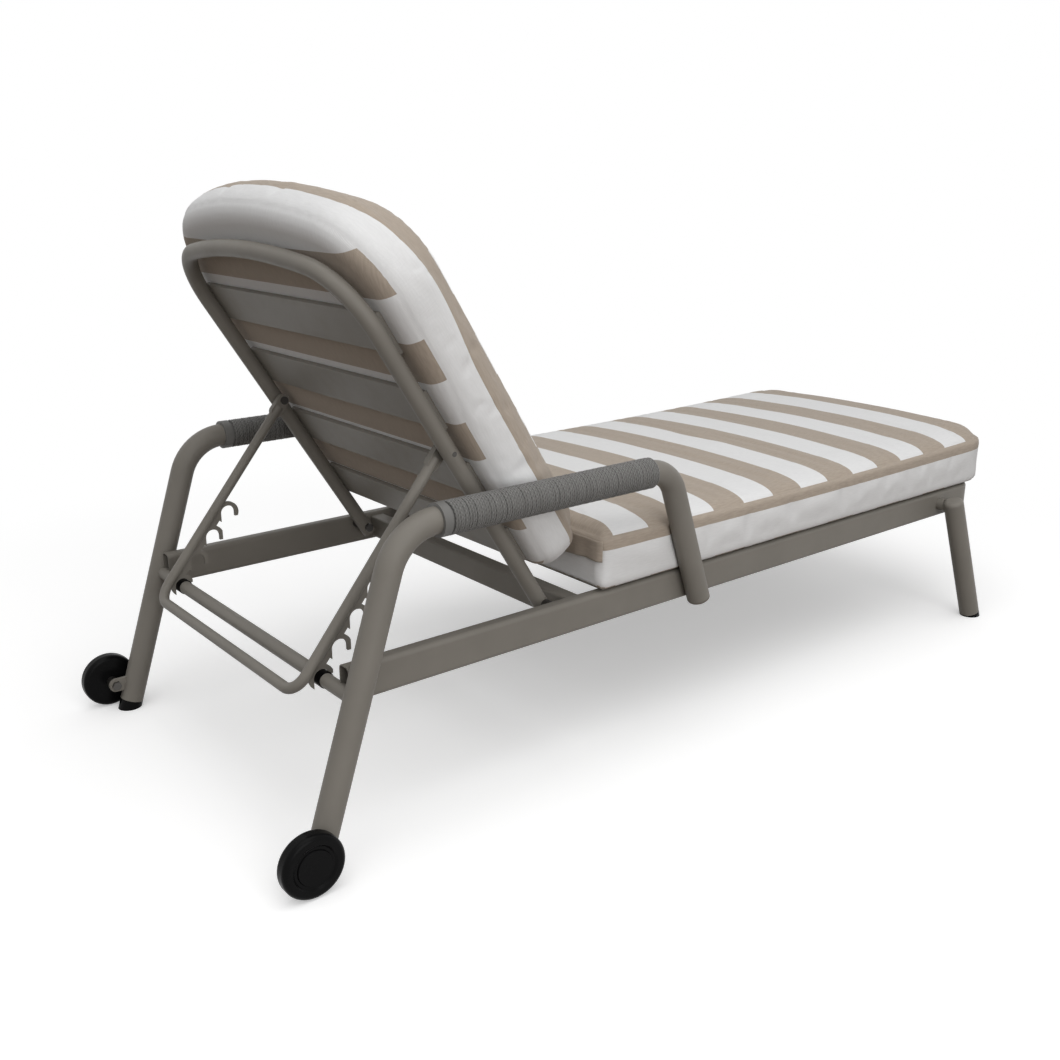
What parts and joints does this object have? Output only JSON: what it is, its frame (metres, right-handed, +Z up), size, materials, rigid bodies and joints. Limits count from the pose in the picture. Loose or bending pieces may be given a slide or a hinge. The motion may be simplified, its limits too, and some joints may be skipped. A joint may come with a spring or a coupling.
{
  "type": "sun lounger",
  "caption": "Padded reclining sun lounger with a bent tube frame, rope-wrapped armrests, a hooked prop for the backrest, wheels at the head end and a striped cushion.",
  "frame": {"origin": "centre of the overall box on the floor, with the backrest propped up", "axes": "+X to the foot end, +Y to the left side of someone lying on it, +Z up"},
  "size_m": [1.7889, 0.7966, 0.931],
  "materials": {
    "frame_coat": "satin",
    "black_plastic": "matte",
    "cap_plastic": "satin",
    "hardware": "satin",
    "rope": "matte",
    "cushion_cloth": "matte"
  },
  "bodies": {
    "frame": {"arm_hoop_left": "frame_coat", "arm_hoop_right": "frame_coat", "rear_foot_left": "black_plastic", "rear_foot_right": "black_plastic", "post_plug_left": "cap_plastic", "post_plug_right": "cap_plastic", "arm_core_left": "rope", "arm_core_right": "rope", "arm_rope_left": "rope", "arm_rope_right": "rope", "wheel_bracket_left": "frame_coat", "wheel_bracket_right": "frame_coat", "axle_bolt_left": "hardware", "axle_bolt_right": "hardware", "front_leg_left": "frame_coat", "front_leg_right": "frame_coat", "leg_stub_left": "frame_coat", "leg_stub_right": "frame_coat", "front_glide_left": "black_plastic", "front_glide_right": "black_plastic", "side_rail_left": "frame_coat", "side_rail_right": "frame_coat", "bar_sleeve_left": "black_plastic", "bar_sleeve_right": "black_plastic", "hinge_bolt_left": "hardware", "hinge_bolt_right": "hardware", "front_rail": "frame_coat", "crossbar": "frame_coat", "hinge_beam": "frame_coat", "seat_slat_1": "frame_coat", "seat_slat_2": "frame_coat", "seat_slat_3": "frame_coat", "seat_slat_4": "frame_coat", "seat_slat_5": "frame_coat", "seat_slat_6": "frame_coat", "seat_slat_7": "frame_coat", "seat_slat_8": "frame_coat", "seat_slat_9": "frame_coat", "seat_cushion": "cushion_cloth", "cushion_join": "cushion_cloth"},
    "backrest": {"backrest_hoop": "frame_coat", "back_slat_1": "frame_coat", "back_slat_2": "frame_coat", "back_slat_3": "frame_coat", "back_slat_4": "frame_coat", "prop_pin_left": "hardware", "prop_pin_right": "hardware"},
    "prop": {"prop_bail": "frame_coat", "hook_plate_left": "frame_coat", "hook_plate_right": "frame_coat"},
    "back_pad": {"back_cushion": "cushion_cloth"},
    "wheel_left": {"wheel_left": "black_plastic"},
    "wheel_right": {"wheel_right": "black_plastic"}
  },
  "joints": [
    {"name": "backrest_recline", "type": "hinge", "parent": "frame", "child": "backrest", "pos_m": [-0.3555, 0, 0.2745], "axis": [0, -1, 0], "range_deg": [0, 58]},
    {"name": "prop_swing", "type": "hinge", "parent": "backrest", "child": "prop", "pos_m": [-0.52772, 0, 0.55012], "axis": [0, -1, 0], "range_deg": [-104.3, 0]},
    {"name": "back_pad_slide", "type": "slide", "parent": "backrest", "child": "back_pad", "axis": [0.5299, 0, -0.848], "range_m": [0, 0.1122]},
    {"name": "wheel_left_spin", "type": "hinge", "parent": "frame", "child": "wheel_left", "pos_m": [-0.8465, 0.382, 0.0485], "axis": [0, 1, 0], "continuous": true},
    {"name": "wheel_right_spin", "type": "hinge", "parent": "frame", "child": "wheel_right", "pos_m": [-0.8465, -0.382, 0.0485], "axis": [0, 1, 0], "continuous": true}
  ],
  "couplings": [
    {"joint": "prop_swing", "follows": "backrest_recline", "ratio": -1.7969},
    {"joint": "back_pad_slide", "follows": "backrest_recline", "m_per_rad": 0.11064}
  ]
}
